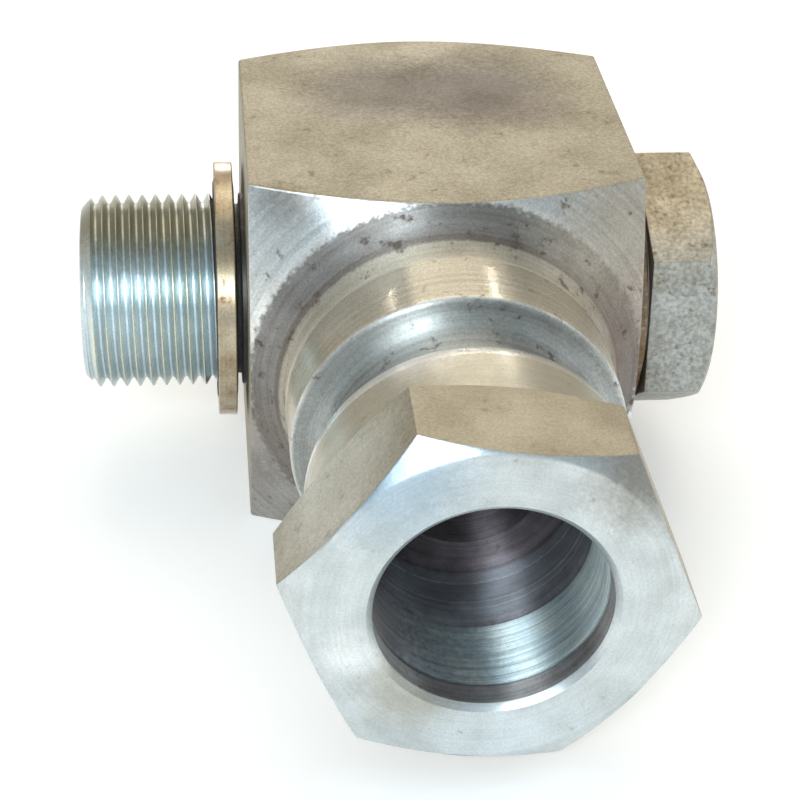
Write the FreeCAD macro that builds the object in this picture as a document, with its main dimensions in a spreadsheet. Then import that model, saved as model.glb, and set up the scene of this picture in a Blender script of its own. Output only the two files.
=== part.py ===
import FreeCAD, Part
import math
import os
import Sketcher

# Banjo hose fitting, in millimetres.
# The bolt lies along X with its stud towards -X and its head towards +X.
# The spigot with its nut points along -Y, and +Z is up.
# Every piece is drawn about the point where the two axes cross.
# The origin is on the resting face of the bar, straight below that point.

doc = FreeCAD.newDocument("banjo_fitting")
sheet = doc.addObject("Spreadsheet::Sheet", "Size")

sizes = [
    # Square bar of the body, and the distance from the crossing to its turned ends
    ("bar_width", 50.8),
    ("front_reach", 24.8),
    ("back_reach", 26.6),
    ("end_angle", 30),
    ("back_step", 1.0),
    # Spigot of the body, from the bar to the threaded stub
    ("collar_step", 4.35),
    ("collar_reach", 41.0),
    ("collar_chamfer", 0.6),
    ("root_fillet", 6.5),
    ("cove_radius", 3.2),
    ("neck_length", 9.6),
    ("neck_relief", 1.0),
    ("stub_length", 14.6),
    ("stub_chamfer", 1.0),
    ("stub_step", 3.05),
    ("stub_wall", 3.0),
    # Tube socket and oil way of the body
    ("tube_clearance", 0.12),
    ("socket_depth", 16.9),
    ("cone_rise", 1.43),
    ("cone_angle", 12),
    ("stop_step", 4.07),
    # Banjo bolt
    ("bolt_radius", 13.22),
    ("bolt_clearance", 0.08),
    ("stud_reach", 22.06),
    ("stud_chamfer", 1.7),
    ("relief_width", 3.2),
    ("relief_depth", 1.5),
    ("land_overhang", 0.6),
    ("waist_depth", 2.4),
    ("waist_width", 30),
    ("oil_radius", 8.0),
    ("oil_reach", 9.5),
    ("drill_angle", 59),
    ("mouth_chamfer", 0.9),
    ("cross_hole_radius", 4.5),
    ("head_flats", 33.02),
    ("head_height", 9.4),
    ("head_turn", 24.1),
    ("head_step", 0.45),
    ("head_face_inset", 0.3),
    ("hex_angle", 30),
    # Bonded seals, a steel ring with a rubber lip
    ("seal_radius", 17.465),
    ("seal_thickness", 2.5),
    ("bond_width", 1.7),
    ("lip_clearance", 0.305),
    ("lip_proud", 0.25),
    ("lip_taper", 0.35),
    ("port_seal_gap", 1.45),
    # Cutting ring
    ("ring_gap", 0.1),
    ("ring_clearance", 0.07),
    ("ring_rim", 2.5),
    ("ring_rim_rise", 2.68),
    ("ring_tip_rise", 0.48),
    ("ring_nose", 5.4),
    # Compression nut
    ("nut_clearance", 0.08),
    ("nut_wall", 1.87),
    ("nut_length", 24.5),
    ("nut_land", 3.76),
    ("nut_turn", -7.8),
    ("nut_runout", 1.1),
    ("nut_mouth_chamfer", 0.77),
    ("nut_rear_chamfer", 0.7),
    ("seat_room", 0.4),
    ("shank_step", 1.15),
    ("shank_length", 10.3),
    ("face_inset", 0.32),
    # Half widths that clear the corners of the square bar and of a hexagon, as a share of the flats
    ("corner_reach", 0.8),
    ("hex_reach", 0.62),
]
for row, (alias, value) in enumerate(sizes, start=1):
    sheet.set("A%d" % row, alias)
    sheet.set("B%d" % row, str(value))
    sheet.setAlias("B%d" % row, alias)
doc.recompute()

# Lengths that follow from the sizes above, as expressions
half_bar = "(Size.bar_width / 2)"
bar_outside = "(Size.bar_width * Size.corner_reach)"
collar_radius = f"({half_bar} - Size.collar_step)"
root_reach = "(Size.front_reach + Size.collar_step * tan(Size.end_angle))"
root_fillet = "min(Size.root_fillet; Size.collar_step * 1.5)"
root_tangent = f"({root_fillet} * tan(45 - Size.end_angle / 2))"
root_edge = f"({collar_radius} + {root_tangent} * cos(Size.end_angle))"
back_radius = f"({half_bar} - Size.back_step)"
back_plane = "(Size.back_reach + Size.back_step * tan(Size.end_angle))"
stub_radius = f"({collar_radius} - Size.stub_step)"
cone_mouth = f"({stub_radius} - Size.stub_wall)"
bore_radius = f"({cone_mouth} - Size.cone_rise)"
flow_radius = f"({bore_radius} - Size.stop_step)"
tube_radius = f"({bore_radius} - Size.tube_clearance)"
neck_radius = f"({stub_radius} - Size.neck_relief)"
cove_room = f"{collar_radius} - Size.collar_chamfer - {neck_radius}"
cove_fillet = f"min(Size.cove_radius; ({cove_room}) * 0.95)"
stub_start = "(Size.collar_reach + Size.neck_length)"
stub_reach = "(Size.collar_reach + Size.neck_length + Size.stub_length)"
stop_reach = f"({stub_reach} - Size.socket_depth)"
eye_radius = "(Size.bolt_radius + Size.bolt_clearance)"
stud_end = f"({half_bar} + Size.stud_reach)"
land_start = f"({half_bar} + Size.land_overhang)"
thread_start = f"({land_start} + Size.relief_width)"
waist_radius = "(Size.bolt_radius - Size.waist_depth)"
head_inner = f"({half_bar} + Size.seal_thickness)"
head_face_radius = "(Size.head_flats / 2 - Size.head_face_inset)"
hex_start = f"({head_inner} + Size.head_step)"
head_top = f"({hex_start} + Size.head_height)"
lip_radius = "(Size.bolt_radius + Size.lip_clearance)"
bond_radius = f"({lip_radius} + Size.bond_width)"
ring_bore = f"({tube_radius} + Size.ring_clearance)"
ring_rim_radius = f"({bore_radius} + Size.ring_rim_rise)"
ring_face = f"({stub_reach} + Size.ring_gap)"
ring_rim_end = f"({ring_face} + Size.ring_rim)"
ring_tip_radius = f"({bore_radius} + Size.ring_tip_rise)"
ring_tip = f"({ring_rim_end} + Size.ring_rim_rise - Size.ring_tip_rise)"
seat_start = f"({ring_rim_end} + Size.ring_rim_rise + Size.ring_gap * sqrt(2))"
seat_radius = f"({ring_rim_radius} + Size.seat_room)"
nut_front = f"({seat_start} + Size.nut_land)"
nut_rear = f"({nut_front} - Size.nut_length)"
nut_thread_end = f"({stub_reach} + Size.nut_runout)"
nut_thread = f"({stub_radius} + Size.nut_clearance)"
shank_radius = f"({nut_thread} + Size.nut_wall)"
shank_end = f"({nut_rear} + Size.shank_length)"
nut_flats = f"(2 * ({shank_radius} + Size.shank_step))"
face_radius = f"({nut_flats} / 2 - Size.face_inset)"


def number(expression):
    return float(sheet.evalExpression(expression))


def newBody(name):
    body = doc.addObject("PartDesign::Body", name)
    body.Label = name
    body.setExpression("Placement.Base.z", half_bar)
    return body


def originFeature(body, role):
    for feature in body.Origin.OriginFeatures:
        if feature.Role == role:
            return feature
    raise ValueError("no origin feature " + role)


def newSketch(body, name, role):
    sketch = body.newObject("Sketcher::SketchObject", name)
    sketch.AttachmentSupport = (originFeature(body, role), "")
    sketch.MapMode = "FlatFace"
    return sketch


# A closed outline, each corner tied to the origin by two bound distances.
# A corner with a third value starts an arc of that radius, which turns left to the next corner.
def addOutline(sketch, corners):
    places = [FreeCAD.Vector(number(corner[0]), number(corner[1]), 0) for corner in corners]
    count = len(corners)
    for side, corner in enumerate(corners):
        start, end = places[side], places[(side + 1) % count]
        if len(corner) == 3:
            sketch.addGeometry(leftArc(start, end, number(corner[2])))
        else:
            sketch.addGeometry(Part.LineSegment(start, end))
    for side in range(count):
        sketch.addConstraint(Sketcher.Constraint("Coincident", side, 2, (side + 1) % count, 1))
    for side, corner in enumerate(corners):
        tieCorner(sketch, side, "DistanceX", "across", corner[0], places[side].x, -2)
        tieCorner(sketch, side, "DistanceY", "up", corner[1], places[side].y, -1)
        if len(corner) == 3:
            arc = Sketcher.Constraint("Radius", side, number(corner[2]))
            bind(sketch, arc, "radius" + str(side), corner[2])


def leftArc(start, end, radius):
    chord = end - start
    middle = (start + end) * 0.5
    left = FreeCAD.Vector(-chord.y, chord.x, 0).normalize()
    centre = middle + left * math.sqrt(radius ** 2 - (chord.Length / 2) ** 2)
    return Part.Arc(start, centre + (middle - centre).normalize() * radius, end)


def tieCorner(sketch, side, kind, prefix, expression, value, axis):
    if expression == "0":
        sketch.addConstraint(Sketcher.Constraint("PointOnObject", side, 1, axis))
        return
    bind(sketch, Sketcher.Constraint(kind, -1, 1, side, 1, value), prefix + str(side), expression)


def bind(sketch, constraint, label, expression):
    index = sketch.addConstraint(constraint)
    sketch.renameConstraint(index, label)
    sketch.setExpression("Constraints." + label, expression)


def addCircle(sketch, radius):
    circle = Part.Circle(FreeCAD.Vector(0, 0, 0), FreeCAD.Vector(0, 0, 1), number(radius))
    sketch.addGeometry(circle)
    sketch.addConstraint(Sketcher.Constraint("Coincident", 0, 3, -1, 1))
    bind(sketch, Sketcher.Constraint("Radius", 0, number(radius)), "radius", radius)


# Feature kind is Revolution to add a turned form, or Groove to cut one
def turned(body, name, kind, axis, corners):
    sketch = newSketch(body, name + "_outline", "XY_Plane")
    addOutline(sketch, corners)
    before = volumeOf(body)
    feature = body.newObject("PartDesign::" + kind, name)
    feature.Profile = sketch
    feature.ReferenceAxis = (sketch, [axis])
    feature.Angle = 360
    doc.recompute()
    checkChange(body, name, before, kind == "Revolution")
    return feature


def volumeOf(body):
    if body.Tip is None or body.Shape.isNull():
        return 0.0
    return body.Shape.Volume


def checkChange(body, name, before, grows):
    change = volumeOf(body) - before
    if grows != (change > 0) or abs(change) < 1e-6:
        raise ValueError("%s changed the volume by %.4f" % (name, change))


# A hexagon given by its width across flats and the angle of one corner
def hexagon(body, name, role, flats, turn):
    sketch = newSketch(body, name, role)
    corners = []
    for corner in range(6):
        angle = f"{turn} + {60 * corner}"
        radius = f"{flats} / sqrt(3)"
        corners.append((f"{radius} * cos({angle})", f"{radius} * sin({angle})"))
    addOutline(sketch, corners)
    return sketch


def pad(body, name, sketch, start, length):
    before = volumeOf(body)
    sketch.setExpression("AttachmentOffset.Base.z", start)
    feature = body.newObject("PartDesign::Pad", name)
    feature.Profile = sketch
    feature.setExpression("Length", length)
    doc.recompute()
    checkChange(body, name, before, True)
    return feature


# A round hole through the whole body, square to one of its origin planes
def drill(body, name, role, radius):
    circle = newSketch(body, name + "_section", role)
    addCircle(circle, radius)
    before = volumeOf(body)
    feature = body.newObject("PartDesign::Pocket", name)
    feature.Profile = circle
    feature.Type = "ThroughAll"
    feature.SideType = "Symmetric"
    doc.recompute()
    checkChange(body, name, before, False)
    return feature


def makeBanjoBody():
    body = newBody("banjo_body")
    bar = newSketch(body, "bar_section", "XZ_Plane")
    addOutline(bar, [
        (f"-{half_bar}", f"-{half_bar}"),
        (half_bar, f"-{half_bar}"),
        (half_bar, half_bar),
        (f"-{half_bar}", half_bar),
    ])
    pad(body, "bar", bar, f"-{back_plane}", f"{back_plane} + {root_reach}")

    # Both ends of the bar are turned to a cone, which leaves an arc on each flat
    turned(body, "front_cone", "Groove", "V_Axis", [
        (collar_radius, f"-{root_reach}"),
        (bar_outside, f"-{root_reach} + ({bar_outside} - {collar_radius}) * tan(Size.end_angle)"),
        (bar_outside, f"-{root_reach} - Size.bar_width"),
        (collar_radius, f"-{root_reach} - Size.bar_width"),
    ])
    turned(body, "back_cone", "Groove", "V_Axis", [
        (back_radius, back_plane),
        (bar_outside, f"{back_plane} - ({bar_outside} - {back_radius}) * tan(Size.end_angle)"),
        (bar_outside, f"{back_plane} + Size.bar_width"),
        (back_radius, f"{back_plane} + Size.bar_width"),
    ])

    # Collar, smooth neck and the stub that carries the nut's thread
    turned(body, "spigot", "Revolution", "V_Axis", [
        ("0", "-Size.front_reach / 2"),
        (root_edge, "-Size.front_reach / 2"),
        (root_edge, f"-{root_reach} + {root_tangent} * sin(Size.end_angle)", root_fillet),
        (collar_radius, f"-{root_reach} - {root_tangent}"),
        (collar_radius, "-Size.collar_reach + Size.collar_chamfer"),
        (f"{collar_radius} - Size.collar_chamfer", "-Size.collar_reach"),
        (f"{neck_radius} + {cove_fillet}", "-Size.collar_reach", cove_fillet),
        (neck_radius, f"-Size.collar_reach - {cove_fillet}"),
        (neck_radius, f"-{stub_start} + Size.neck_relief"),
        (stub_radius, f"-{stub_start}"),
        (stub_radius, f"-{stub_reach} + Size.stub_chamfer"),
        (f"{stub_radius} - Size.stub_chamfer", f"-{stub_reach}"),
        ("0", f"-{stub_reach}"),
    ])

    # Cone for the ring, socket for the tube and the oil way behind its stop
    turned(body, "tube_socket", "Groove", "V_Axis", [
        ("0", f"-{stub_reach}"),
        (cone_mouth, f"-{stub_reach}"),
        (bore_radius, f"-{stub_reach} + Size.cone_rise / tan(Size.cone_angle)"),
        (bore_radius, f"-{stop_reach}"),
        (flow_radius, f"-{stop_reach}"),
        (flow_radius, "0"),
        ("0", "0"),
    ])

    # Eye for the bolt
    drill(body, "eye", "YZ_Plane", eye_radius)
    return body


def makeBanjoBolt():
    body = newBody("banjo_bolt")
    turned(body, "shank", "Revolution", "H_Axis", [
        (f"-{stud_end}", "0"),
        (f"-{stud_end}", "Size.bolt_radius - Size.stud_chamfer"),
        (f"-{stud_end} + Size.stud_chamfer", "Size.bolt_radius"),
        (f"-{thread_start}", "Size.bolt_radius"),
        (f"-{thread_start} + Size.relief_depth", "Size.bolt_radius - Size.relief_depth"),
        (f"-{land_start}", "Size.bolt_radius - Size.relief_depth"),
        (f"-{land_start}", "Size.bolt_radius"),
        ("-Size.waist_width / 2", "Size.bolt_radius"),
        ("-Size.waist_width / 2 + Size.waist_depth", waist_radius),
        ("Size.waist_width / 2 - Size.waist_depth", waist_radius),
        ("Size.waist_width / 2", "Size.bolt_radius"),
        (head_inner, "Size.bolt_radius"),
        (head_inner, head_face_radius),
        (f"{hex_start} + Size.head_step", head_face_radius),
        (f"{hex_start} + Size.head_step", "0"),
    ])
    head = hexagon(body, "head_section", "YZ_Plane", "Size.head_flats", "Size.head_turn")
    pad(body, "head", head, hex_start, "Size.head_height")
    head_outside = "Size.head_flats * Size.hex_reach"
    head_slope = f"({head_outside} - {head_face_radius}) * tan(Size.hex_angle)"
    turned(body, "head_chamfer", "Groove", "H_Axis", [
        (head_top, head_face_radius),
        (f"{head_top} - {head_slope}", head_outside),
        (f"{head_top} + Size.head_step", head_outside),
        (f"{head_top} + Size.head_step", head_face_radius),
    ])

    # Oil hole drilled from the stud's end, and four holes across it in the waist
    turned(body, "oil_hole", "Groove", "H_Axis", [
        (f"-{stud_end}", "0"),
        (f"-{stud_end}", "Size.oil_radius + Size.mouth_chamfer"),
        (f"-{stud_end} + Size.mouth_chamfer", "Size.oil_radius"),
        ("Size.oil_reach", "Size.oil_radius"),
        ("Size.oil_reach + Size.oil_radius / tan(Size.drill_angle)", "0"),
    ])
    hole = drill(body, "cross_hole", "XY_Plane", "Size.cross_hole_radius")
    before = volumeOf(body)
    holes = body.newObject("PartDesign::PolarPattern", "cross_holes")
    holes.Originals = [hole]
    holes.Axis = (originFeature(body, "X_Axis"), [""])
    holes.Angle = 90
    holes.Occurrences = 2
    body.Tip = holes
    doc.recompute()
    checkChange(body, "cross_holes", before, False)
    return body


# Steel ring of a bonded seal whose face nearer to the stud's end is at x = left
def makeSealWasher(name, left):
    body = newBody(name)
    right = f"{left} + Size.seal_thickness"
    turned(body, "steel", "Revolution", "H_Axis", [
        (left, bond_radius),
        (left, "Size.seal_radius"),
        (right, "Size.seal_radius"),
        (right, bond_radius),
    ])
    return body


# Rubber lip inside that ring; a free one swells proud of both faces, a clamped one is flush
def makeSealLip(name, left, proud):
    body = newBody(name)
    right = f"{left} + Size.seal_thickness"
    crest = f"{lip_radius} + Size.bond_width / 2"
    turned(body, "rubber", "Revolution", "H_Axis", [
        (left, bond_radius),
        (f"{left} - {proud}", crest),
        (f"{left} + Size.lip_taper", lip_radius),
        (f"{right} - Size.lip_taper", lip_radius),
        (f"{right} + {proud}", crest),
        (right, bond_radius),
    ])
    return body


def makeCuttingRing():
    body = newBody("cutting_ring")
    nose_end = f"({stub_reach} - Size.ring_nose)"
    nose_gap = "Size.ring_gap / cos(Size.cone_angle)"
    turned(body, "ring", "Revolution", "V_Axis", [
        (ring_bore, f"-{ring_tip}"),
        (ring_tip_radius, f"-{ring_tip}"),
        (ring_rim_radius, f"-{ring_rim_end}"),
        (ring_rim_radius, f"-{ring_face}"),
        (f"{cone_mouth} + Size.ring_gap * tan(Size.cone_angle) - {nose_gap}", f"-{ring_face}"),
        (f"{cone_mouth} - Size.ring_nose * tan(Size.cone_angle) - {nose_gap}", f"-{nose_end}"),
        (ring_bore, f"-{nose_end}"),
    ])
    return body


def makeCompressionNut():
    body = newBody("compression_nut")
    section = hexagon(body, "nut_section", "XZ_Plane", nut_flats, "Size.nut_turn")
    pad(body, "hexagon", section, shank_end, f"{nut_front} - {shank_end}")
    outside = f"({nut_flats} * Size.hex_reach)"
    rear_slope = f"({outside} - {shank_radius}) * tan(Size.hex_angle)"
    front_slope = f"({outside} - {face_radius}) * tan(Size.hex_angle)"
    turned(body, "rear_cone", "Groove", "V_Axis", [
        (shank_radius, f"-{shank_end}"),
        (outside, f"-{shank_end} - {rear_slope}"),
        (outside, f"-{shank_end} + Size.shank_step"),
        (shank_radius, f"-{shank_end} + Size.shank_step"),
    ])
    turned(body, "front_cone", "Groove", "V_Axis", [
        (face_radius, f"-{nut_front}"),
        (outside, f"-{nut_front} + {front_slope}"),
        (outside, f"-{nut_front} - Size.shank_step"),
        (face_radius, f"-{nut_front} - Size.shank_step"),
    ])
    turned(body, "round_shank", "Revolution", "V_Axis", [
        ("0", f"-{shank_end} - Size.shank_step"),
        ("0", f"-{nut_rear}"),
        (f"{shank_radius} - Size.nut_rear_chamfer", f"-{nut_rear}"),
        (shank_radius, f"-{nut_rear} - Size.nut_rear_chamfer"),
        (shank_radius, f"-{shank_end} - Size.shank_step"),
    ])

    # From the front: tube bore, 45 degree seat that presses the ring, thread, entry
    turned(body, "inside", "Groove", "V_Axis", [
        ("0", f"-{nut_front}"),
        (f"{bore_radius} + Size.nut_mouth_chamfer", f"-{nut_front}"),
        (bore_radius, f"-{nut_front} + Size.nut_mouth_chamfer"),
        (bore_radius, f"-{seat_start}"),
        (seat_radius, f"-{seat_start} + {seat_radius} - {bore_radius}"),
        (seat_radius, f"-{nut_thread_end}"),
        (nut_thread, f"-{nut_thread_end}"),
        (nut_thread, f"-{nut_rear}"),
        ("0", f"-{nut_rear}"),
    ])
    return body


port_left = f"(-{half_bar} - Size.port_seal_gap - Size.seal_thickness)"
subParts = [
    makeBanjoBody(),
    makeBanjoBolt(),
    makeSealWasher("port_seal_washer", port_left),
    makeSealLip("port_seal_lip", port_left, "Size.lip_proud"),
    makeSealWasher("head_seal_washer", half_bar),
    makeSealLip("head_seal_lip", half_bar, "0"),
    makeCuttingRing(),
    makeCompressionNut(),
]
doc.recompute()

for item in doc.Objects:
    if "Invalid" in item.State or "Error" in item.State:
        raise ValueError("%s is %s" % (item.Name, item.State))
for piece in subParts:
    if piece.Shape.isNull() or not piece.Shape.isValid():
        raise ValueError(piece.Label + " has no valid shape")

os.makedirs("parts", exist_ok=True)
for piece in subParts:
    piece.Shape.exportStep("parts/%s.step" % piece.Label)
    box = piece.Shape.BoundBox
    print("%-18s %9.1f mm3  x %.2f %.2f  y %.2f %.2f  z %.2f %.2f" % (
        piece.Label, piece.Shape.Volume, box.XMin, box.XMax, box.YMin, box.YMax, box.ZMin, box.ZMax))
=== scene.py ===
import math
import bmesh
import bpy
from mathutils import Matrix, Vector


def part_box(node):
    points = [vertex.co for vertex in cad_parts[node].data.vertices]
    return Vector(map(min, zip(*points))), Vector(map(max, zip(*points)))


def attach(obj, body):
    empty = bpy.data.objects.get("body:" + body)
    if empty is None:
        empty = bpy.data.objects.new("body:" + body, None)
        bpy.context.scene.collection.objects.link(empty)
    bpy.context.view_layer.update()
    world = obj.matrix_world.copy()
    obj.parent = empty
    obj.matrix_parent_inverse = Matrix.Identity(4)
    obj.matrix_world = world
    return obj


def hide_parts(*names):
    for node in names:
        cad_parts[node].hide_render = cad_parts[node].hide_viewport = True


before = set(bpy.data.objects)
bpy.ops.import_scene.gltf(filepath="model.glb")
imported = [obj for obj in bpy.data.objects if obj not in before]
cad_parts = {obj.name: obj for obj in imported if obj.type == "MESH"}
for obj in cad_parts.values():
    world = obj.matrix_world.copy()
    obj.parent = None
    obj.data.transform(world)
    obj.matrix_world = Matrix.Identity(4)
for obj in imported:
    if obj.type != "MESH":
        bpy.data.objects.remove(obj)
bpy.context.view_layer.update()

# Banjo hose fitting. Profiles are in millimetres: how far along the axis, how far out from it,
# and how far from the corner its rounding starts. The bolt's axis is X, the spigot's is -Y.
mm = 0.001
boltAxis = "bolt"
spigotAxis = "spigot"


def nodeBox(name):
    low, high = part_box(name)
    return low / mm, high / mm


bodyLow, bodyHigh = nodeBox("banjo_body")
boltLow, boltHigh = nodeBox("banjo_bolt")
nutLow, nutHigh = nodeBox("compression_nut")
ringLow, ringHigh = nodeBox("cutting_ring")
portLow, portHigh = nodeBox("port_seal_washer")
headLow, headHigh = nodeBox("head_seal_washer")
halfBar = bodyHigh.x
axisHeight = halfBar

# How near each other two points are one point, in mm, and what counts as a sharp edge, in degrees
near = {"axis": 0.0001, "turned": 0.001, "cut": 0.0005, "milled": 0.01, "bevelled": 0.005}
sharpEdge = {"milled": 15, "shaded": 24}


def rotateAll(shape, degrees, about):
    bmesh.ops.rotate(shape, verts=shape.verts[:], cent=(0, 0, 0),
                     matrix=Matrix.Rotation(math.radians(degrees), 3, about))


# Shapes: a profile is turned about its axis, flats are milled on it, and holes and threads are cut
def turn(profile, steps=192, roundSteps=4):
    shape = bmesh.new()
    corners = [shape.verts.new((along * mm, out * mm, 0)) for along, out, rounding in profile]
    shape.faces.new(corners)
    for corner, (along, out, rounding) in zip(corners, profile):
        if rounding:
            bmesh.ops.bevel(shape, geom=[corner], offset=rounding * mm, offset_type="OFFSET",
                            segments=roundSteps, profile=0.5, affect="VERTICES", material=-1)
    bmesh.ops.delete(shape, geom=shape.faces[:], context="FACES_ONLY")
    onAxis = [edge for edge in shape.edges
              if max(vert.co.y for vert in edge.verts) < near["axis"] * mm]
    bmesh.ops.delete(shape, geom=onAxis, context="EDGES")
    bmesh.ops.spin(shape, geom=shape.verts[:] + shape.edges[:], cent=(0, 0, 0), axis=(1, 0, 0),
                   angle=math.tau, steps=steps, use_merge=True)
    bmesh.ops.remove_doubles(shape, verts=shape.verts[:], dist=near["turned"] * mm)
    bmesh.ops.recalc_face_normals(shape, faces=shape.faces[:])
    return shape


# Flats at this distance from the axis; they get the second material. The steps of the turned
# shape are first lined up with the corners, so that no narrow slivers are left there.
def mill(shape, distance, angles, edge):
    rotateAll(shape, angles[0] + 180 / len(angles), "X")
    for angle in angles:
        normal = Vector((0, math.cos(math.radians(angle)), math.sin(math.radians(angle))))
        cut = bmesh.ops.bisect_plane(shape, geom=shape.verts[:] + shape.edges[:] + shape.faces[:],
                                     dist=near["cut"] * mm, plane_co=normal * distance * mm,
                                     plane_no=normal, clear_outer=True)
        rim = [item for item in cut["geom_cut"] if isinstance(item, bmesh.types.BMEdge)]
        bmesh.ops.edgeloop_fill(shape, edges=rim, mat_nr=1)
    bmesh.ops.remove_doubles(shape, verts=shape.verts[:], dist=near["milled"] * mm)
    bmesh.ops.recalc_face_normals(shape, faces=shape.faces[:])
    sharp = [side for side in shape.edges
             if len(side.link_faces) == 2
             and side.calc_face_angle() > math.radians(sharpEdge["milled"])
             and any(face.material_index == 1 for face in side.link_faces)]
    bmesh.ops.bevel(shape, geom=sharp, offset=edge * mm, offset_type="OFFSET", segments=2,
                    profile=0.5, affect="EDGES", material=-1, clamp_overlap=False)
    bmesh.ops.remove_doubles(shape, verts=shape.verts[:], dist=near["bevelled"] * mm)


def toPiece(shape, name, axis):
    if axis == spigotAxis:
        rotateAll(shape, -90, "Z")
    bmesh.ops.translate(shape, verts=shape.verts[:], vec=(0, 0, axisHeight * mm))
    mesh = bpy.data.meshes.new(name)
    shape.to_mesh(mesh)
    shape.free()
    piece = bpy.data.objects.new(name, mesh)
    bpy.context.scene.collection.objects.link(piece)
    return piece


def applyModifiers(piece):
    graph = bpy.context.evaluated_depsgraph_get()
    mesh = bpy.data.meshes.new_from_object(piece.evaluated_get(graph))
    piece.modifiers.clear()
    piece.data = mesh


def cutWith(piece, tool):
    modifier = piece.modifiers.new("cut", "BOOLEAN")
    modifier.operation = "DIFFERENCE"
    modifier.solver = "EXACT"
    modifier.object = tool
    applyModifiers(piece)
    bpy.data.objects.remove(tool)


# A groove's section swept along a right-handed helix, to be cut out of a turned piece
def threadTool(name, axis, section, pitch, first, last, turnSteps=96):
    shape = bmesh.new()
    corners = [shape.verts.new(((first + along) * mm, out * mm, 0)) for along, out in section]
    for start, end in zip(corners, corners[1:] + corners[:1]):
        shape.edges.new((start, end))
    turns = math.ceil((last - first) / pitch)
    bmesh.ops.spin(shape, geom=shape.verts[:] + shape.edges[:], cent=(0, 0, 0), axis=(1, 0, 0),
                   dvec=(pitch * mm / turnSteps, 0, 0), angle=math.tau * turns,
                   steps=turnSteps * turns)
    bmesh.ops.remove_doubles(shape, verts=shape.verts[:], dist=near["cut"] * mm)
    ends = [edge for edge in shape.edges if len(edge.link_faces) == 1]
    bmesh.ops.holes_fill(shape, edges=ends, sides=0)
    bmesh.ops.recalc_face_normals(shape, faces=shape.faces[:])
    return toPiece(shape, name, axis)


def finishPiece(piece, body, node, materials):
    for material in materials:
        piece.data.materials.append(material)
    piece.data.shade_smooth()
    piece.data.set_sharp_from_angle(angle=math.radians(sharpEdge["shaded"]))
    weighted = piece.modifiers.new("evenShading", "WEIGHTED_NORMAL")
    weighted.keep_sharp = True
    applyModifiers(piece)
    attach(piece, body)
    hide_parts(node)
    print(piece.name, len(piece.data.polygons), "faces")


# Materials: every pattern reads Object coordinates in mm, with the crossing of the axes as zero
def addNode(tree, kind, inputs=None, **settings):
    made = tree.nodes.new("ShaderNode" + kind)
    for key, value in settings.items():
        setattr(made, key, value)
    for key, value in (inputs or {}).items():
        if isinstance(value, bpy.types.NodeSocket):
            tree.links.new(value, made.inputs[key])
        else:
            made.inputs[key].default_value = value
    return made


def newMaterial(name):
    material = bpy.data.materials.new(name)
    material.use_nodes = True
    tree = material.node_tree
    shader = tree.nodes["Principled BSDF"]
    coords = addNode(tree, "TexCoord")
    place = addNode(tree, "Mapping", {"Vector": coords.outputs["Object"], "Scale": (1 / mm,) * 3,
                                      "Location": (0, 0, -axisHeight)}).outputs["Vector"]
    return material, tree, shader, place


# How far along a piece's axis and out from it, and a place on which a pattern runs round as rings
def turnedPlace(tree, place, axis, wander=0.02):
    parts = addNode(tree, "SeparateXYZ", {"Vector": place}).outputs
    along = parts["X"] if axis == boltAxis else combine(tree, "MULTIPLY", parts["Y"], -1)
    across = parts["Y"] if axis == boltAxis else parts["X"]
    section = addNode(tree, "CombineXYZ", {"X": across, "Y": parts["Z"]}).outputs["Vector"]
    out = addNode(tree, "VectorMath", {0: section}, operation="LENGTH").outputs["Value"]
    rings = addNode(tree, "CombineXYZ", {"X": along, "Y": out}).outputs["Vector"]
    rings = addNode(tree, "VectorMath", {0: place, 1: (wander,) * 3, 2: rings},
                    operation="MULTIPLY_ADD").outputs["Vector"]
    return along, out, rings


# The direction round the axis, by which the turned marks spread the gloss along the axis
def turnedTangent(tree, place, axis):
    middle = (1, 0, 0) if axis == boltAxis else (0, 1, 0)
    around = addNode(tree, "VectorMath", {0: middle, 1: place},
                     operation="CROSS_PRODUCT").outputs["Vector"]
    return addNode(tree, "VectorTransform", {"Vector": around}, vector_type="VECTOR",
                   convert_from="OBJECT", convert_to="WORLD").outputs["Vector"]


def noise(tree, place, size, detail=4.0, roughness=0.55):
    return addNode(tree, "TexNoise", {"Vector": place, "Scale": 1 / size, "Detail": detail,
                                      "Roughness": roughness}).outputs["Fac"]


def between(tree, value, low, high, start=0.0, end=1.0):
    return addNode(tree, "MapRange", {"Value": value, "From Min": low, "From Max": high,
                                      "To Min": start, "To Max": end}).outputs["Result"]


# One where the value lies from low to high, fading over the soft width at both ends
def zone(tree, value, low, high, soft):
    return combine(tree, "MULTIPLY", between(tree, value, low - soft, low + soft),
                   between(tree, value, high - soft, high + soft, 1, 0))


# A Mix node takes colours at its inputs 6 and 7, and gives the blended colour at its output 2
def blend(tree, amount, first, second, kind="MIX"):
    mixer = addNode(tree, "Mix", data_type="RGBA", blend_type=kind)
    for index, value in ((0, amount), (6, first), (7, second)):
        if isinstance(value, bpy.types.NodeSocket):
            tree.links.new(value, mixer.inputs[index])
        elif index == 0:
            mixer.inputs[index].default_value = value
        else:
            mixer.inputs[index].default_value = (*value, 1)
    return mixer.outputs[2]


def combine(tree, operation, first, second):
    return addNode(tree, "Math", {0: first, 1: second}, operation=operation).outputs["Value"]


def addBump(tree, shader, layers):
    normal = None
    for height, depth in layers:
        inputs = {"Height": height, "Distance": depth * mm, "Strength": 1.0}
        if normal:
            inputs["Normal"] = normal
        normal = addNode(tree, "Bump", inputs).outputs["Normal"]
    tree.links.new(normal, shader.inputs["Normal"])


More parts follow.
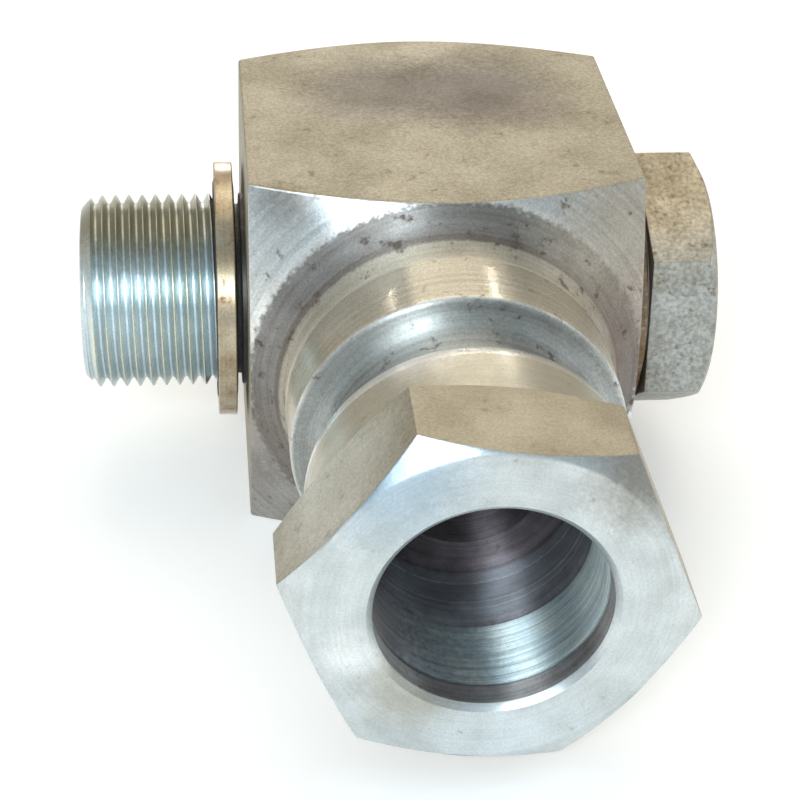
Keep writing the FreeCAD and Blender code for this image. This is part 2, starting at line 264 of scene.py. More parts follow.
# What every plated finish shares: the size of its ragged edges, how far they wander in mm, how soft
# they are, how much dirt and stains dull it, which span of a noise's values its patterns use, and
# the quarter turn from round the axis, as the marks run, to along it, as the gloss spreads
plating = {"raggedSize": 0.8, "raggedOut": 0.5, "raggedAlong": 0.25, "softOut": 0.35,
           "softAlong": 0.15, "raggedPatch": 0.3, "patchFrom": 0.4, "patchTo": 1.1,
           "dirtStains": 0.1, "stainSoft": 0.08, "stainDull": 0.2, "raggedSpan": (0.3, 0.7),
           "cloudSpan": (0.35, 0.65), "ringSpan": (0.4, 0.7), "glossTurn": 0.25}


# Plated steel. A zone is (colour, strength, along from, along to, out from, out to, added
# roughness), and a patch is (colour, strength, centre, reach).
def plated(name, axis, look, zones=(), patches=()):
    material, tree, shader, place = newMaterial(name)
    along, out, rings = turnedPlace(tree, place, axis)
    ragged = between(tree, noise(tree, place, plating["raggedSize"], 4.0, 0.6),
                     *plating["raggedSpan"], -plating["raggedOut"], plating["raggedOut"])
    raggedAlong = combine(tree, "ADD", along,
                          combine(tree, "MULTIPLY", ragged, plating["raggedAlong"]))
    raggedOut = combine(tree, "ADD", out, ragged)
    cloud = between(tree, noise(tree, place, look["cloudSize"]), *plating["cloudSpan"])
    base, dirt = look["light"], 0.0
    for colour, strength, alongFrom, alongTo, outFrom, outTo, dulled in zones:
        inside = combine(tree, "MULTIPLY",
                         zone(tree, raggedAlong, alongFrom, alongTo, plating["softAlong"]),
                         zone(tree, raggedOut, outFrom, outTo, plating["softOut"]))
        inside = combine(tree, "MULTIPLY", inside, strength)
        base = blend(tree, inside, base, colour)
        dirt = combine(tree, "ADD", dirt, combine(tree, "MULTIPLY", inside, dulled))
    for colour, strength, centre, reach in patches:
        away = addNode(tree, "VectorMath", {0: place, 1: centre},
                       operation="DISTANCE").outputs["Value"]
        away = combine(tree, "ADD", away,
                       combine(tree, "MULTIPLY", ragged, reach * plating["raggedPatch"]))
        inside = between(tree, away, reach * plating["patchFrom"], reach * plating["patchTo"], 1, 0)
        base = blend(tree, combine(tree, "MULTIPLY", inside, strength), base, colour)
    shade = blend(tree, cloud, (1, 1, 1), look["shade"])
    colour = blend(tree, 1.0, base, shade, "MULTIPLY")
    grain = between(tree, noise(tree, place, look["grainSize"], 2.0), *plating["cloudSpan"])
    grainShade = blend(tree, grain, (1, 1, 1), (1 - look["grainAmount"],) * 3)
    colour = blend(tree, 1.0, colour, grainShade, "MULTIPLY")
    ringLines = noise(tree, rings, look["ringSize"], 3.0, 0.7)
    ringShade = blend(tree, between(tree, ringLines, *plating["ringSpan"]), (1, 1, 1),
                      (1 - look["ringAmount"],) * 3)
    colour = blend(tree, 1.0, colour, ringShade, "MULTIPLY")
    stain = combine(tree, "ADD", noise(tree, place, look["stainSize"], 6.0, 0.65),
                    combine(tree, "MULTIPLY", dirt, plating["dirtStains"]))
    stain = between(tree, stain, look["stainFrom"], look["stainFrom"] + plating["stainSoft"])
    colour = blend(tree, combine(tree, "MULTIPLY", stain, look["stainAmount"]), colour, look["stain"])
    tree.links.new(colour, shader.inputs["Base Color"])
    shader.inputs["Metallic"].default_value = look["metallic"]
    if look.get("turned"):
        shader.inputs["Anisotropic"].default_value = look["turned"]
        shader.inputs["Anisotropic Rotation"].default_value = plating["glossTurn"]
        tree.links.new(turnedTangent(tree, place, axis), shader.inputs["Tangent"])
    gloss = combine(tree, "ADD", between(tree, cloud, 0, 1, *look["gloss"]), dirt)
    gloss = combine(tree, "ADD", gloss, combine(tree, "MULTIPLY", stain, plating["stainDull"]))
    tree.links.new(gloss, shader.inputs["Roughness"])
    addBump(tree, shader, [(ringLines, look["ringDepth"]),
                           (noise(tree, place, look["grainSize"], 3.0), look["grainDepth"])])
    return material


# Sizes, depths and places of a look are in mm
chamferSilver = (0.86, 0.90, 0.91)
edgeSilver = (0.98, 0.99, 0.98)
rootGrey = (0.37, 0.36, 0.35)
paintedRootWarmLight = (0.60, 0.57, 0.49)
paintedCollarWarmLight = (0.80, 0.76, 0.65)
neckGreyAndShade = (0.56, 0.59, 0.58)
paintedShankWarmLight = (0.66, 0.63, 0.54)
nutBeigeAndWarmLight = (0.44, 0.40, 0.315)
paintedLowShade = (0.34, 0.30, 0.27)
cornerDirt = (0.22, 0.16, 0.10)
edgeBrown = (0.20, 0.14, 0.10)
rustBrown = (0.16, 0.09, 0.05)
paintedCrestHighlight = (0.88, 0.88, 0.74)
paintedTopShade = (0.42, 0.41, 0.34)
paintedLowBlueShade = (0.46, 0.54, 0.56)
paintedBoreGlint = (0.85, 0.92, 1.0)
turnedZinc = plated("turnedZinc", spigotAxis, {
    "light": chamferSilver, "shade": (0.85, 0.82, 0.79), "cloudSize": 9, "grainSize": 0.3,
    "grainAmount": 0.2, "stain": (0.14, 0.105, 0.085), "stainSize": 2.2, "stainFrom": 0.61,
    "stainAmount": 0.7, "metallic": 0.9, "gloss": (0.27, 0.38), "turned": 0.9, "ringSize": 0.7,
    "ringAmount": 0.24, "ringDepth": 0.018, "grainDepth": 0.01}, [
    (edgeSilver, 0.9, 20.0, 31.0, 25.6, 26.6, 0.0),
    (rootGrey, 0.95, 20.0, 31.2, 20.0, 25.6, 0.2),
    (edgeBrown, 0.4, 27.2, 28.4, 20.0, 23.4, 0.15),
    # Beige on the collar: painted warm light from above, on the same zinc as the chamfer
    (paintedCollarWarmLight, 1.0, 28.2, 40.5, 20.0, 22.4, -0.05),
    # Beige on the fillet before the collar: the same painted warm light
    (paintedRootWarmLight, 0.8, 28.0, 30.5, 20.0, 23.0, 0.05),
    # Grey on the neck and cove: partly their own finish, partly painted shade of the recess between
    # collar and nut
    (neckGreyAndShade, 1.0, 40.8, 50.5, 16.0, 21.2, 0.12)], [
    # Warmer, dimmer right side of the front chamfer: painted shade
    ((0.58, 0.52, 0.43), 0.8, (23, -21, 17), 17),
    # Darker lower left of the front cone: painted shade
    (paintedLowShade, 0.7, (-23, -22, -20), 15),
    (paintedLowShade, 0.6, (-25, -24, -9), 9),
    # Darker lower right of the front cone: painted shade
    ((0.32, 0.27, 0.25), 0.7, (24, -25.4, 6), 11),
    # Darker cove and neck at the right and at the lower left: painted shade
    ((0.32, 0.34, 0.35), 0.9, (8, -45, 8), 10),
    ((0.36, 0.39, 0.40), 0.8, (-12, -45, 4), 10),
    (cornerDirt, 0.6, (-22, -23, 25.4), 5)])
# Beige on the bar's flats: partly their own finish, partly painted warm light from above
barZinc = plated("barZinc", spigotAxis, {
    "light": (0.45, 0.41, 0.315), "shade": (0.92, 0.91, 0.89), "cloudSize": 9, "grainSize": 0.35,
    "grainAmount": 0.3, "stain": (0.24, 0.19, 0.13), "stainSize": 2.0, "stainFrom": 0.61,
    "stainAmount": 0.5, "metallic": 0.75, "gloss": (0.45, 0.6), "ringSize": 0.6,
    "ringAmount": 0.05, "ringDepth": 0.002, "grainDepth": 0.025}, (), [
    ((0.22, 0.19, 0.16), 0.85, (-7, 9, 25.4), 12),
    ((0.20, 0.17, 0.145), 0.95, (7, 9, 25.4), 14),
    ((0.28, 0.24, 0.20), 0.5, (14, 2, 25.4), 7),
    (cornerDirt, 0.6, (-22, -23, 25.4), 5)])
nutZinc = plated("nutZinc", spigotAxis, {
    "light": (0.69, 0.74, 0.75), "shade": (0.84, 0.84, 0.83), "cloudSize": 5, "grainSize": 0.3,
    "grainAmount": 0.12, "stain": (0.36, 0.31, 0.25), "stainSize": 2.0, "stainFrom": 0.63,
    "stainAmount": 0.5, "metallic": 0.9, "gloss": (0.3, 0.42), "turned": 0.5, "ringSize": 0.35,
    "ringAmount": 0.1, "ringDepth": 0.01, "grainDepth": 0.008}, [
    # Beige shank: painted warm light from above
    (paintedShankWarmLight, 1.0, 49.0, 63.0, 16.0, 26.0, 0.0),
    # White band at the rear edge of the shank, whitest at the left and toned down to beige at the
    # right: a painted highlight
    ((0.98, 0.98, 0.96), 1.0, 49.0, 51.9, 16.0, 20.5, -0.05)], [
    ((1.0, 1.0, 1.0), 0.7, (-7, -49.5, 19.5), 6),
    (paintedShankWarmLight, 0.6, (11, -51.5, 17), 10),
    # Nut face darker at the top and lighter, bluer at the bottom: painted shade and painted light
    ((0.54, 0.57, 0.58), 0.4, (2, -74.4, 18), 10),
    ((0.80, 0.87, 0.90), 0.5, (2, -74.4, -18), 10),
    # Bluish, darker top left of the front chamfer: painted shade that dims the highlight there
    ((0.40, 0.52, 0.62), 0.8, (-12, -72, 19), 11),
    ((0.48, 0.44, 0.34), 0.6, (-9, -74, -10), 7),
    # Darker grey-brown top right of the front chamfer: painted shade
    ((0.36, 0.33, 0.29), 0.85, (15.5, -71, 17), 8),
    ((0.95, 0.98, 0.98), 0.8, (-16, -74.4, -5), 4),
    (rustBrown, 0.9, (22, -72.5, 5), 1.8)])
# Beige on the nut's flats: partly their own finish, partly painted warm light from above
nutFlats = plated("nutFlats", spigotAxis, {
    "light": nutBeigeAndWarmLight, "shade": (0.86, 0.84, 0.81), "cloudSize": 8, "grainSize": 0.3,
    "grainAmount": 0.2, "stain": (0.3, 0.25, 0.18), "stainSize": 2.0, "stainFrom": 0.62,
    "stainAmount": 0.5, "metallic": 0.8, "gloss": (0.4, 0.5), "ringSize": 0.6,
    "ringAmount": 0.05, "ringDepth": 0.002, "grainDepth": 0.015}, (), [
    # Lighter, greyer left facet: painted light
    ((0.75, 0.75, 0.69), 0.9, (-18, -66, 12), 13),
    (rustBrown, 0.9, (22, -72, 6), 1.8)])
boltZinc = plated("boltZinc", boltAxis, {
    "light": (0.68, 0.78, 0.83), "shade": (0.86, 0.88, 0.86), "cloudSize": 7, "grainSize": 0.3,
    "grainAmount": 0.15, "stain": (0.4, 0.40, 0.32), "stainSize": 3, "stainFrom": 0.74,
    "stainAmount": 0.1, "metallic": 0.95, "gloss": (0.30, 0.40), "turned": 0.4, "ringSize": 0.3,
    "ringAmount": 0.08, "ringDepth": 0.003, "grainDepth": 0.005}, [
    # Cream thread crests: a painted highlight
    (paintedCrestHighlight, 0.9, -60, -31, 12.85, 13.6, 0.0),
    # Near-black on the relief groove under the port seal: painted shade in the gap
    ((0.10, 0.085, 0.08), 0.9, -29.3, -25.0, 10.0, 14.0, 0.2),
    # Dark brown under the head: painted shade between the bar and the head
    ((0.34, 0.26, 0.21), 0.9, 27.0, 28.7, 13.0, 20.0, 0.25)], [
    # Lighter, bluer left part of the stud: painted light
    ((0.85, 0.95, 1.0), 0.8, (-44, -10, 8), 9),
    # Darker, warmer top of the stud: painted shade
    (paintedTopShade, 0.9, (-35, -1, 13), 10),
    (paintedTopShade, 0.9, (-44, -1, 13), 10),
    # Darker, bluer underside of the stud: painted reflection of the cool light from the front
    (paintedLowBlueShade, 0.6, (-34, -9, -10), 8),
    (paintedLowBlueShade, 0.6, (-43, -9, -10), 8)])
headFlats = plated("headFlats", boltAxis, {
    "light": (0.51, 0.525, 0.51), "shade": (0.80, 0.77, 0.72), "cloudSize": 5, "grainSize": 0.6,
    "grainAmount": 0.35, "stain": (0.22, 0.14, 0.08), "stainSize": 1.1, "stainFrom": 0.58,
    "stainAmount": 0.55, "metallic": 0.8, "gloss": (0.42, 0.55), "ringSize": 0.5,
    "ringAmount": 0.05, "ringDepth": 0.002, "grainDepth": 0.05}, (), [
    # Beige top of the head: painted warm light from above
    ((0.66, 0.56, 0.40), 0.85, (31, -4, 19), 15)])
sealSteel = plated("sealSteel", boltAxis, {
    "light": (0.61, 0.54, 0.41), "shade": (0.72, 0.62, 0.53), "cloudSize": 4, "grainSize": 0.3,
    "grainAmount": 0.2, "stain": (0.30, 0.17, 0.08), "stainSize": 2, "stainFrom": 0.58,
    "stainAmount": 0.55, "metallic": 0.95, "gloss": (0.30, 0.42), "turned": 0.5, "ringSize": 0.3,
    "ringAmount": 0.15, "ringDepth": 0.008, "grainDepth": 0.008}, [
    (edgeBrown, 0.8, 25, 28.5, 14, 18, 0.1)])
# Dark inside of the body and nut: partly bare steel, partly painted shade
boreSteelInShade = plated("boreSteelInShade", spigotAxis, {
    "light": (0.36, 0.38, 0.42), "shade": (0.62, 0.57, 0.57), "cloudSize": 5, "grainSize": 0.3,
    "grainAmount": 0.15, "stain": (0.12, 0.10, 0.10), "stainSize": 3, "stainFrom": 0.60,
    "stainAmount": 0.5, "metallic": 0.85, "gloss": (0.48, 0.52), "turned": 1.0, "ringSize": 0.5,
    "ringAmount": 0.35, "ringDepth": 0.03, "grainDepth": 0.004}, [
    # Dark purple-brown deep in the socket: painted shade
    ((0.25, 0.22, 0.24), 0.9, 20, 49.2, 0, 14.0, 0.0),
    # Thin bright rings in the socket: painted glints
    (paintedBoreGlint, 0.8, 51.1, 51.35, 13, 15.0, -0.15),
    (paintedBoreGlint, 0.9, 54.8, 55.1, 13, 15.0, -0.15),
    (paintedBoreGlint, 0.6, 56.0, 56.2, 13, 15.0, -0.15),
    ((0.48, 0.47, 0.45), 0.8, 70.2, 75, 13, 14.0, 0.0)], [
    # Darker left of the socket: painted shade
    ((0.20, 0.15, 0.15), 0.7, (-12, -52, 0), 13)])
ringSteel = plated("ringSteel", spigotAxis, {
    "light": (0.88, 1.0, 1.0), "shade": (0.78, 0.83, 0.88), "cloudSize": 4, "grainSize": 0.3,
    "grainAmount": 0.12, "stain": (0.2, 0.16, 0.15), "stainSize": 2.5, "stainFrom": 0.66,
    "stainAmount": 0.2, "metallic": 1.0, "gloss": (0.46, 0.5), "turned": 1.0, "ringSize": 0.4,
    "ringAmount": 0.35, "ringDepth": 0.03, "grainDepth": 0.003}, (), [
    # Darker left of the ring's bore: painted shade
    ((0.22, 0.18, 0.19), 0.85, (-13, -64, -4), 18)])


def makeRubber():
    material, tree, shader, place = newMaterial("blackRubber")
    grain = noise(tree, place, 0.4)
    colour = blend(tree, grain, (0.018, 0.018, 0.019), (0.035, 0.034, 0.033))
    tree.links.new(colour, shader.inputs["Base Color"])
    tree.links.new(between(tree, grain, 0.3, 0.7, 0.5, 0.7), shader.inputs["Roughness"])
    addBump(tree, shader, [(grain, 0.01)])
    return material


blackRubber = makeRubber()

# Room left when faces are picked by their place, and how far a turned shape reaches past the
# corners that its flats leave, in mm
slack = 0.1
cornerSpare = 0.3

# Body: square bar with turned ends, collar, neck and threaded stub
bodySizes = {"backStep": 1.0, "endAngle": 30, "collar": 21.05, "collarEnd": 41.0, "neck": 17.0,
             "cove": 3.2, "root": 3.75, "stub": 18.0, "stubStart": 50.6, "coneMouth": 15.0,
             "bore": 13.57, "coneLength": 6.73, "socketDepth": 16.9, "oilWay": 9.5, "eye": 13.3,
             "frontReach": 24.8, "edge": 0.35, "eyeEdge": 0.4, "stubLead": 1.0, "stubEdge": 1.0,
             "cornerShare": 1.45}
threadSizes = {"stubPitch": 2.0, "stubRoot": 16.77, "studPitch": 1.814, "studRoot": 12.06,
               "nutCrest": 16.95, "stubBefore": 0.4, "pastEnd": 2, "studRunout": 1.2, "nutTurns": 8}


# One side of a groove is given in shares of half the pitch, and the other side mirrors it
def grooveSection(pitch, root, crest):
    half = pitch / 2
    steps = ((0.12, root), (0.22, root + 0.06), (0.82, crest - 0.12), (0.92, crest - 0.02),
             (0.98, crest + 0.02), (0.98, crest + 0.4))
    right = [(share * half, out) for share, out in steps]
    left = [(-along, out) for along, out in reversed(right)]
    return left[-1:] + right + left[:-1]


# From the spigot's axis straight out to the middle of a face
def fromSpigot(face):
    return Vector((face.center.x, 0, face.center.z - axisHeight * mm))


def makeBody(sizes):
    slope = math.tan(math.radians(sizes["endAngle"]))
    corner = halfBar * sizes["cornerShare"]
    rootReach = sizes["frontReach"] + (halfBar - sizes["collar"]) * slope
    frontWide = rootReach - (corner - sizes["collar"]) * slope
    backFace = -bodyHigh.y
    backWide = backFace + (corner - halfBar + sizes["backStep"]) * slope
    stubEnd = -bodyLow.y
    stop = stubEnd - sizes["socketDepth"]
    shape = turn([
        (backFace, 0, 0),
        (backFace, halfBar - sizes["backStep"], 0.3),
        (backWide, corner, 0),
        (frontWide, corner, 0),
        (rootReach, sizes["collar"], sizes["root"]),
        (sizes["collarEnd"], sizes["collar"], 0.75),
        (sizes["collarEnd"], sizes["neck"], sizes["cove"]),
        (sizes["stubStart"] - sizes["stubLead"], sizes["neck"], 0.2),
        (sizes["stubStart"], sizes["stub"], 0),
        (stubEnd - sizes["stubEdge"], sizes["stub"], 0.1),
        (stubEnd, sizes["stub"] - sizes["stubEdge"], 0.2),
        (stubEnd, sizes["coneMouth"], 0.15),
        (stubEnd - sizes["coneLength"], sizes["bore"], 0.4),
        (stop, sizes["bore"], 0.1),
        (stop, sizes["oilWay"], 0.3),
        (0, sizes["oilWay"], 0),
        (0, 0, 0),
    ], roundSteps=6)
    mill(shape, halfBar, (0, 90, 180, 270), sizes["edge"])
    piece = toPiece(shape, "fittingBody", spigotAxis)
    edge = sizes["eyeEdge"]
    reach = halfBar + 1
    cutWith(piece, toPiece(turn([
        (-reach, 0, 0),
        (-reach, sizes["eye"] + edge + 1, 0),
        (-halfBar + edge, sizes["eye"], 0),
        (halfBar - edge, sizes["eye"], 0),
        (reach, sizes["eye"] + edge + 1, 0),
        (reach, 0, 0),
    ]), "eyeTool", boltAxis))
    section = grooveSection(threadSizes["stubPitch"], threadSizes["stubRoot"], sizes["stub"])
    cutWith(piece, threadTool("stubThreadTool", spigotAxis, section, threadSizes["stubPitch"],
                              sizes["stubStart"] - threadSizes["stubBefore"],
                              stubEnd + threadSizes["pastEnd"]))
    for face in piece.data.polygons:
        inside = fromSpigot(face).length < (sizes["coneMouth"] + slack) * mm
        if inside and (slack - stubEnd) * mm < face.center.y < -sizes["eye"] * mm:
            face.material_index = 2
    return piece


fittingBody = makeBody(bodySizes)
finishPiece(fittingBody, "body", "banjo_body", [turnedZinc, barZinc, boreSteelInShade])

# Bolt: hollow, with a G3/4 thread on the stud and a waist inside the eye
boltSizes = {"shank": 13.22, "studChamfer": 1.7, "reliefWidth": 3.2, "reliefDepth": 1.5,
             "landOverhang": 0.6, "waistDepth": 2.4, "waistWidth": 30, "oilHole": 8.0,
             "oilReach": 9.5, "crossHole": 4.5, "headFlats": 33.02, "headStep": 0.45,
             "headFace": 15.95, "headTurn": 54.1, "edge": 0.22, "oilEdge": 0.9, "drillPoint": 59,
             "crossReach": 14, "chamferAngle": 30}


def makeBolt(sizes):
    shank, oil = sizes["shank"], sizes["oilHole"]
    root = shank - sizes["reliefDepth"]
    land = -halfBar - sizes["landOverhang"]
    threadStart = land - sizes["reliefWidth"]
    waist, halfWaist = shank - sizes["waistDepth"], sizes["waistWidth"] / 2
    headInner = headHigh.x
    hexStart = headInner + sizes["headStep"]
    corner = sizes["headFlats"] / math.sqrt(3) + cornerSpare
    slope = math.tan(math.radians(sizes["chamferAngle"]))
    shape = turn([
        (boltLow.x, oil + sizes["oilEdge"], 0.15),
        (boltLow.x, shank - sizes["studChamfer"], 0.3),
        (boltLow.x + sizes["studChamfer"], shank, 0.2),
        (threadStart, shank, 0),
        (threadStart + sizes["reliefDepth"], root, 0.4),
        (land, root, 0.3),
        (land, shank, 0.15),
        (-halfWaist, shank, 0.2),
        (-halfWaist + sizes["waistDepth"], waist, 0.8),
        (halfWaist - sizes["waistDepth"], waist, 0.8),
        (halfWaist, shank, 0.2),
        (headInner, shank, 0.25),
        (headInner, sizes["headFace"], 0.15),
        (hexStart, sizes["headFace"], 0.1),
        (hexStart, corner, 0),
        (boltHigh.x - (corner - sizes["headFace"]) * slope, corner, 0),
        (boltHigh.x, sizes["headFace"], 0.4),
        (boltHigh.x, 0, 0),
        (sizes["oilReach"] + oil / math.tan(math.radians(sizes["drillPoint"])), 0, 0),
        (sizes["oilReach"], oil, 0.2),
        (boltLow.x + sizes["oilEdge"], oil, 0.15),
    ])
    turns = [sizes["headTurn"] + 60 * side for side in range(6)]
    mill(shape, sizes["headFlats"] / 2, turns, sizes["edge"])
    piece = toPiece(shape, "banjoBolt", boltAxis)
    reach, cross = sizes["crossReach"], sizes["crossHole"]
    for name, turned in (("holeTool", 0), ("secondHoleTool", 90)):
        tool = turn([(-reach, 0, 0), (-reach, cross, 0), (reach, cross, 0), (reach, 0, 0)], 64)
        rotateAll(tool, 90, "Y")
        rotateAll(tool, turned, "X")
        cutWith(piece, toPiece(tool, name, boltAxis))
    section = grooveSection(threadSizes["studPitch"], threadSizes["studRoot"], shank)
    cutWith(piece, threadTool("studThreadTool", boltAxis, section, threadSizes["studPitch"],
                              boltLow.x - threadSizes["pastEnd"],
                              threadStart + threadSizes["studRunout"]))
    for face in piece.data.polygons:
        if face.center.x > hexStart * mm:
            face.material_index = 1
    return piece


banjoBolt = makeBolt(boltSizes)
finishPiece(banjoBolt, "bolt", "banjo_bolt", [boltZinc, headFlats])

# Bonded seals: a steel ring and its rubber lip, on the stud and under the head
sealSizes = {"outer": 17.465, "bond": 15.225, "lip": 13.525, "taper": 0.35, "edge": 0.2}


def makeSealSteel(name, low, high, sizes):
    edge = sizes["edge"]
    return toPiece(turn([(low, sizes["bond"], 0), (low, sizes["outer"], edge),
                         (high, sizes["outer"], edge), (high, sizes["bond"], 0)]), name, boltAxis)


def makeSealLip(name, low, high, proud, sizes):
    crest = (sizes["bond"] + sizes["lip"]) / 2
    return toPiece(turn([
        (low, sizes["bond"], 0), (low - proud, crest, 0.4), (low + sizes["taper"], sizes["lip"], 0.3),
        (high - sizes["taper"], sizes["lip"], 0.3), (high + proud, crest, 0.4),
        (high, sizes["bond"], 0)]), name, boltAxis)


portSteel = makeSealSteel("portSealSteel", portLow.x, portHigh.x, sealSizes)
portLip = makeSealLip("portSealLip", portLow.x, portHigh.x, 0.25, sealSizes)
headSteel = makeSealSteel("headSealSteel", headLow.x, headHigh.x, sealSizes)
headLip = makeSealLip("headSealLip", headLow.x, headHigh.x, 0, sealSizes)
finishPiece(portSteel, "port_seal", "port_seal_washer", [sealSteel])
finishPiece(portLip, "port_seal", "port_seal_lip", [blackRubber])
finishPiece(headSteel, "head_seal", "head_seal_washer", [sealSteel])
finishPiece(headLip, "head_seal", "head_seal_lip", [blackRubber])

# Cutting ring, with fine ridges turned in its bore
ringSizes = {"bore": 13.52, "mouth": 15.0, "tip": 14.05, "rim": 16.25, "gap": 0.1, "nose": 5.4,
             "rimLength": 2.5, "coneAngle": 12, "ridges": 7, "ridgeDepth": 0.2}


def makeRing(sizes):
    noseEnd = -ringHigh.y
    tipEnd = -ringLow.y
    face = noseEnd + sizes["nose"] + sizes["gap"]
    tangent = math.tan(math.radians(sizes["coneAngle"]))
    slant = sizes["gap"] / math.cos(math.radians(sizes["coneAngle"]))
    outline = [
        (noseEnd, sizes["bore"], 0.05),
        (noseEnd, sizes["mouth"] - sizes["nose"] * tangent - slant, 0.1),
        (face, sizes["mouth"] + sizes["gap"] * tangent - slant, 0.1),
        (face, sizes["rim"], 0.15),
        (face + sizes["rimLength"], sizes["rim"], 0.15),
        (tipEnd, sizes["tip"], 0.1),
        (tipEnd, sizes["bore"], 0.05),
    ]
    spacing = (tipEnd - noseEnd) / (sizes["ridges"] + 0.5)
    deep = sizes["bore"] + sizes["ridgeDepth"]
    for ridge in range(sizes["ridges"], 0, -1):
        start = noseEnd + (ridge - 0.2) * spacing
        outline += [(start, sizes["bore"], 0.05), (start - spacing * 0.2, deep, 0.05),
                    (start - spacing * 0.6, sizes["bore"] + 0.03, 0)]
    return toPiece(turn(outline), "cuttingRing", spigotAxis)


cuttingRing = makeRing(ringSizes)
finishPiece(cuttingRing, "ring", "cutting_ring", [ringSteel])

# Compression nut
nutSizes = {"flats": 42.2, "shank": 19.95, "shankEnd": 60.18, "face": 20.78, "bore": 13.57,
            "mouth": 0.77, "seat": 16.65, "threadEnd": 66.3, "thread": 18.08, "turn": 22.2,
            "edge": 0.22, "rearDrop": 0.25, "rearWidth": 1.2, "seatLead": 0.62, "reliefWidth": 1.0,
            "reliefEnd": 1.6, "insideRadius": 18, "chamferAngle": 30}


def makeNut(sizes):
    rear, front = -nutHigh.y, -nutLow.y
    corner = sizes["flats"] / math.sqrt(3) + cornerSpare
    slope = math.tan(math.radians(sizes["chamferAngle"]))
    seatStart = -ringLow.y + sizes["seatLead"]
    crest = threadSizes["nutCrest"]
    entry = sizes["thread"] + 0.3 - crest
    shape = turn([
        (rear, sizes["shank"] - sizes["rearDrop"], 0.2),
        (rear + sizes["rearWidth"], sizes["shank"], 0.5),
        (sizes["shankEnd"], sizes["shank"], 0.4),
        (sizes["shankEnd"] + (corner - sizes["shank"]) * slope, corner, 0),
        (front - (corner - sizes["face"]) * slope, corner, 0),
        (front, sizes["face"], 0.35),
        (front, sizes["bore"] + sizes["mouth"], 0.1),
        (front - sizes["mouth"], sizes["bore"], 0.1),
        (seatStart, sizes["bore"], 0.1),
        (seatStart - sizes["seat"] + sizes["bore"], sizes["seat"], 0.1),
        (sizes["threadEnd"], sizes["seat"], 0),
        (sizes["threadEnd"], sizes["thread"], 0.2),
        (sizes["threadEnd"] - sizes["reliefWidth"], sizes["thread"], 0),
        (sizes["threadEnd"] - sizes["reliefEnd"], crest, 0),
        (rear + entry, crest, 0),
        (rear, crest + entry, 0.1),
    ])
    mill(shape, sizes["flats"] / 2, [sizes["turn"] + 60 * side for side in range(6)], sizes["edge"])
    piece = toPiece(shape, "compressionNut", spigotAxis)
    for face in piece.data.polygons:
        centre = fromSpigot(face)
        inward = face.normal.dot(centre) < 0 and centre.length < (sizes["thread"] + slack) * mm
        behindMouth = face.center.y > (sizes["mouth"] - front) * mm
        if behindMouth and (inward or centre.length < sizes["insideRadius"] * mm):
            face.material_index = 2
    pitch = threadSizes["stubPitch"]
    section = grooveSection(pitch, crest, sizes["thread"])
    flipped = [(along, sizes["thread"] + crest - out) for along, out in section]
    start = bodySizes["stubStart"] - threadSizes["stubBefore"] + pitch / 2 - 2 * pitch
    cutWith(piece, threadTool("nutThreadTool", spigotAxis, flipped, pitch, start,
                              start + threadSizes["nutTurns"] * pitch))
    return piece


compressionNut = makeNut(nutSizes)
finishPiece(compressionNut, "nut", "compression_nut", [nutZinc, nutFlats, boreSteelInShade])

# Camera where the photograph was taken from
view = {"place": (-0.03148, -0.25659, 0.16934), "yaw": 6.3, "pitch": 32.27, "roll": 1.91,
        "lens": 94.88}


def placeCamera(view):
    yaw, pitch, roll = (math.radians(view[key]) for key in ("yaw", "pitch", "roll"))
    ahead = Vector((math.sin(yaw) * math.cos(pitch), math.cos(yaw) * math.cos(pitch), -math.sin(pitch)))
    level = Vector((math.cos(yaw), -math.sin(yaw), 0))
    upward = level.cross(ahead)
    side = math.cos(roll) * level + math.sin(roll) * upward
    top = math.cos(roll) * upward - math.sin(roll) * level
    lens = bpy.data.cameras.new("camera")
    lens.lens = view["lens"]
    lens.sensor_width = 36
    lens.clip_start = 0.01
    camera = bpy.data.objects.new("camera", lens)
    bpy.context.scene.collection.objects.link(camera)
    turned = Matrix((side, top, -ahead)).transposed().to_4x4()
    camera.matrix_world = Matrix.Translation(view["place"]) @ turned
    bpy.context.scene.camera = camera
    print("camera placed")


placeCamera(view)

# Pale floor and soft studio light
studio = {"floorColour": (0.92, 0.92, 0.92), "floorReach": 4, "floorLift": 0.25,
          "aim": (0, -0.02, 0.025), "warmSky": (1.0, 0.91, 0.76), "coolSky": (0.82, 0.94, 1.0),
          "sky": 0.55}
# Place, width, watts and colour
lamps = {
    "keyLamp": ((-0.17, -0.56, 0.34), 0.24, 2.5, (0.86, 0.95, 1.0)),
    "topLamp": ((0.05, 0.3, 0.55), 0.5, 1.1, (1.0, 0.92, 0.78)),
    "fillLamp": ((0.6, -0.1, 0.3), 0.4, 0.4, (1.0, 0.97, 0.92)),
    "leftSpot": ((-0.28, 0.66, 0.38), 0.03, 0.07, (1.0, 0.97, 0.90)),
    "rightSpot": ((0.25, 0.66, 0.41), 0.03, 0.1, (1.0, 0.97, 0.90)),
    "backLamp": ((0.06, 0.8, 0.14), 0.2, 0.9, (1.0, 0.97, 0.92)),
}


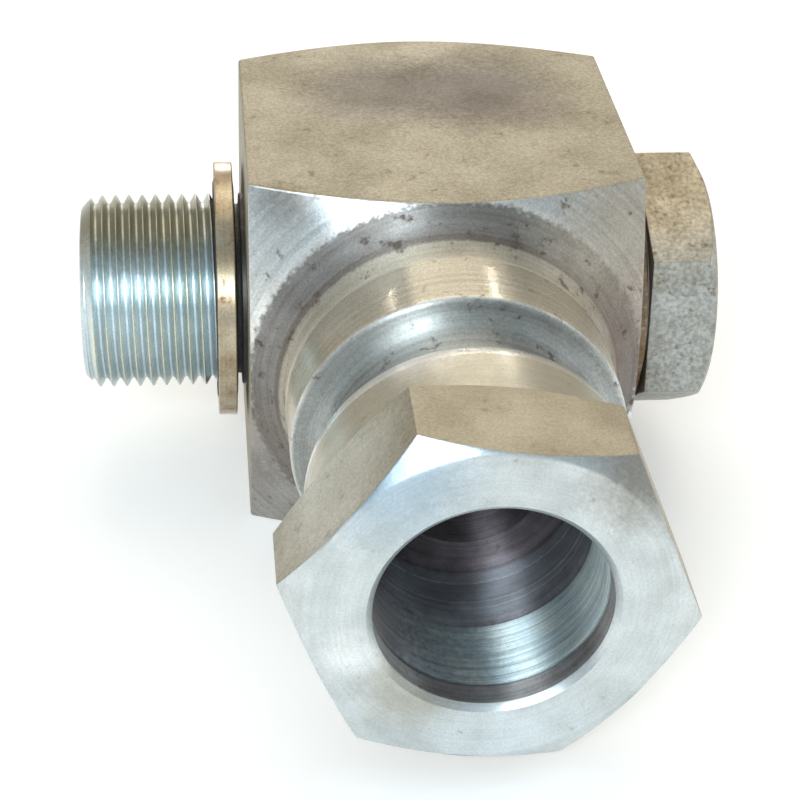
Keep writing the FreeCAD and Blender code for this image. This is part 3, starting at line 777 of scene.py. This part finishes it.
def addLamp(name, place, width, watts, colour):
    lamp = bpy.data.lights.new(name, "AREA")
    lamp.size = width
    lamp.energy = watts
    lamp.color = colour
    holder = bpy.data.objects.new(name, lamp)
    bpy.context.scene.collection.objects.link(holder)
    holder.location = place
    holder.rotation_euler = (Vector(studio["aim"]) - Vector(place)).to_track_quat("-Z", "Y").to_euler()
    holder.visible_camera = False


def makeFloor(colour):
    shape = bmesh.new()
    bmesh.ops.create_grid(shape, x_segments=1, y_segments=1, size=studio["floorReach"])
    mesh = bpy.data.meshes.new("floor")
    shape.to_mesh(mesh)
    shape.free()
    floor = bpy.data.objects.new("floor", mesh)
    bpy.context.scene.collection.objects.link(floor)
    material = bpy.data.materials.new("paleFloor")
    material.use_nodes = True
    shader = material.node_tree.nodes["Principled BSDF"]
    shader.inputs["Base Color"].default_value = (*colour, 1)
    shader.inputs["Roughness"].default_value = 0.9
    path = addNode(material.node_tree, "LightPath")
    seen = combine(material.node_tree, "MAXIMUM", path.outputs["Is Camera Ray"],
                   path.outputs["Is Glossy Ray"])
    lift = combine(material.node_tree, "MULTIPLY", seen, studio["floorLift"])
    shader.inputs["Emission Color"].default_value = (1, 1, 1, 1)
    material.node_tree.links.new(lift, shader.inputs["Emission Strength"])
    mesh.materials.append(material)


# Cool light from the front, where the photographer stood, and warm light from behind
def makeWorld(warm, cool, strength):
    world = bpy.data.worlds.new("studio")
    bpy.context.scene.world = world
    world.use_nodes = True
    tree = world.node_tree
    direction = addNode(tree, "TexCoord").outputs["Generated"]
    ahead = addNode(tree, "SeparateXYZ", {"Vector": direction}).outputs["Y"]
    colour = blend(tree, between(tree, ahead, -0.3, 0.4), cool, warm)
    background = tree.nodes["Background"]
    tree.links.new(colour, background.inputs["Color"])
    background.inputs["Strength"].default_value = strength


for name, (place, width, watts, colour) in lamps.items():
    addLamp(name, place, width, watts, colour)
makeFloor(studio["floorColour"])
makeWorld(studio["warmSky"], studio["coolSky"], studio["sky"])
print("floor and light made")
bpy.context.scene.view_settings.view_transform = "Standard"
